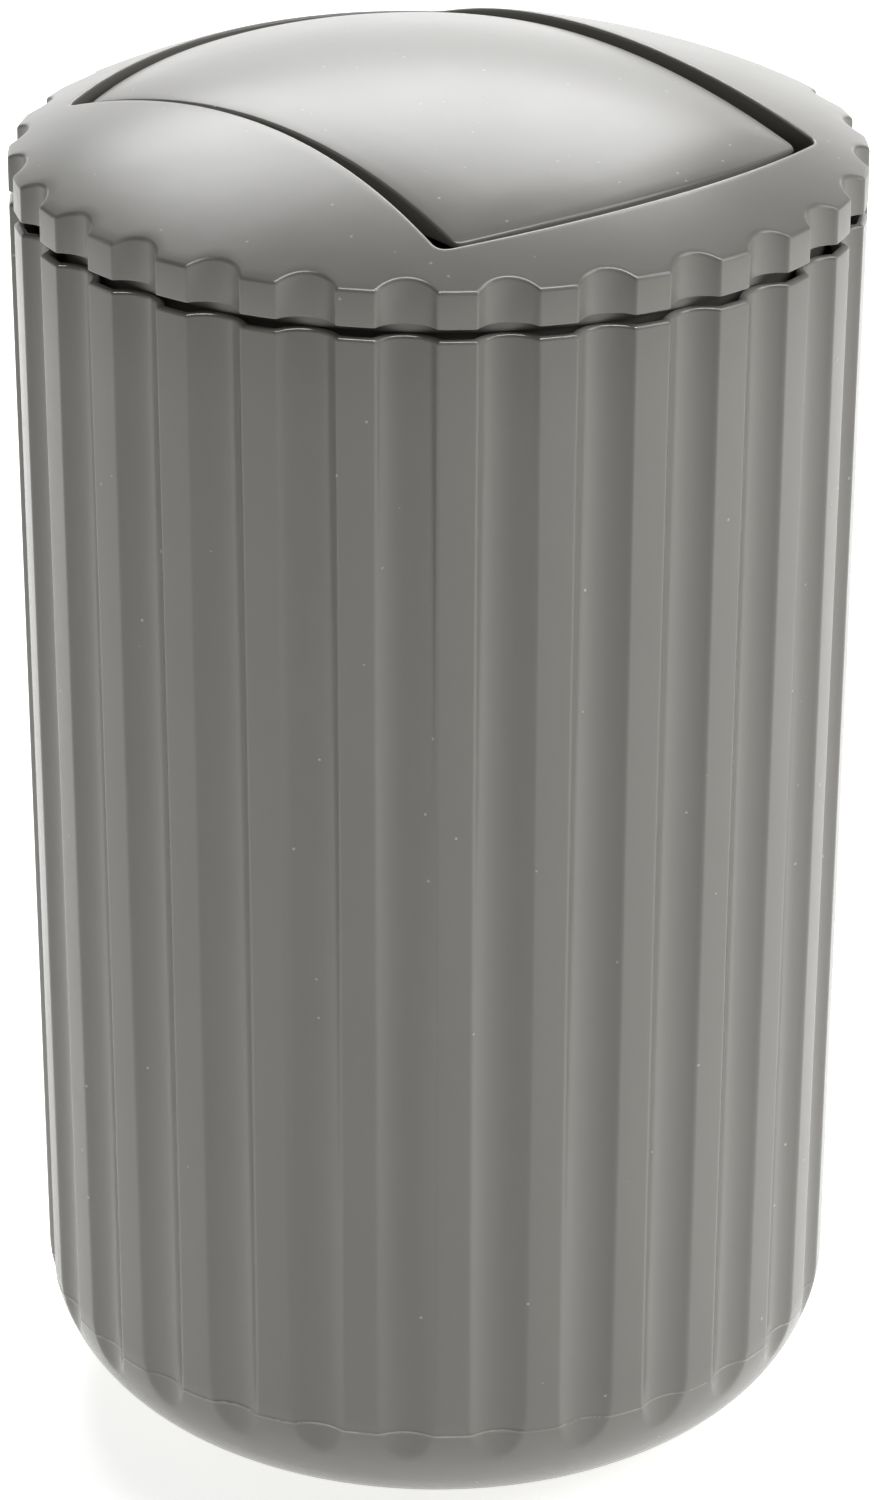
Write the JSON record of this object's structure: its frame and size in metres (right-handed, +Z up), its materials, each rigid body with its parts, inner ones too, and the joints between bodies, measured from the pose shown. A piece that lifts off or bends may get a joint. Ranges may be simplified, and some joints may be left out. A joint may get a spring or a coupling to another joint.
{
  "type": "swing-lid waste bin",
  "caption": "Round fluted plastic waste bin with a rounded foot, a domed lift-off lid and a curved flap that swings both ways and closes itself.",
  "frame": {"origin": "centre of the flat base, on the floor", "axes": "+Z up along the bin's axis, X along the flap's hinge axis, Y the way the flap swings"},
  "size_m": [0.186, 0.186, 0.3177],
  "materials": {
    "satin_plastic": "satin, moulded",
    "keeper_plastic": "plain, moulded",
    "steel": "drawn bar"
  },
  "bodies": {
    "bin": {"bin_body": "satin_plastic"},
    "lid": {"lid_frame": "satin_plastic", "pivot_keeper_left": "keeper_plastic", "pivot_keeper_right": "keeper_plastic"},
    "flap": {"swing_flap": "satin_plastic", "pivot_pin_left": "steel", "pivot_pin_right": "steel", "balance_rod": "steel"}
  },
  "joints": [
    {"name": "lid_lift", "type": "slide", "parent": "bin", "child": "lid", "axis": [0, 0, 1], "range_m": [0, 0.12]},
    {"name": "flap_swing", "type": "hinge", "parent": "lid", "child": "flap", "pos_m": [0, 0, 0.3015], "axis": [1, 0, 0], "range_deg": [-80, 80]}
  ]
}
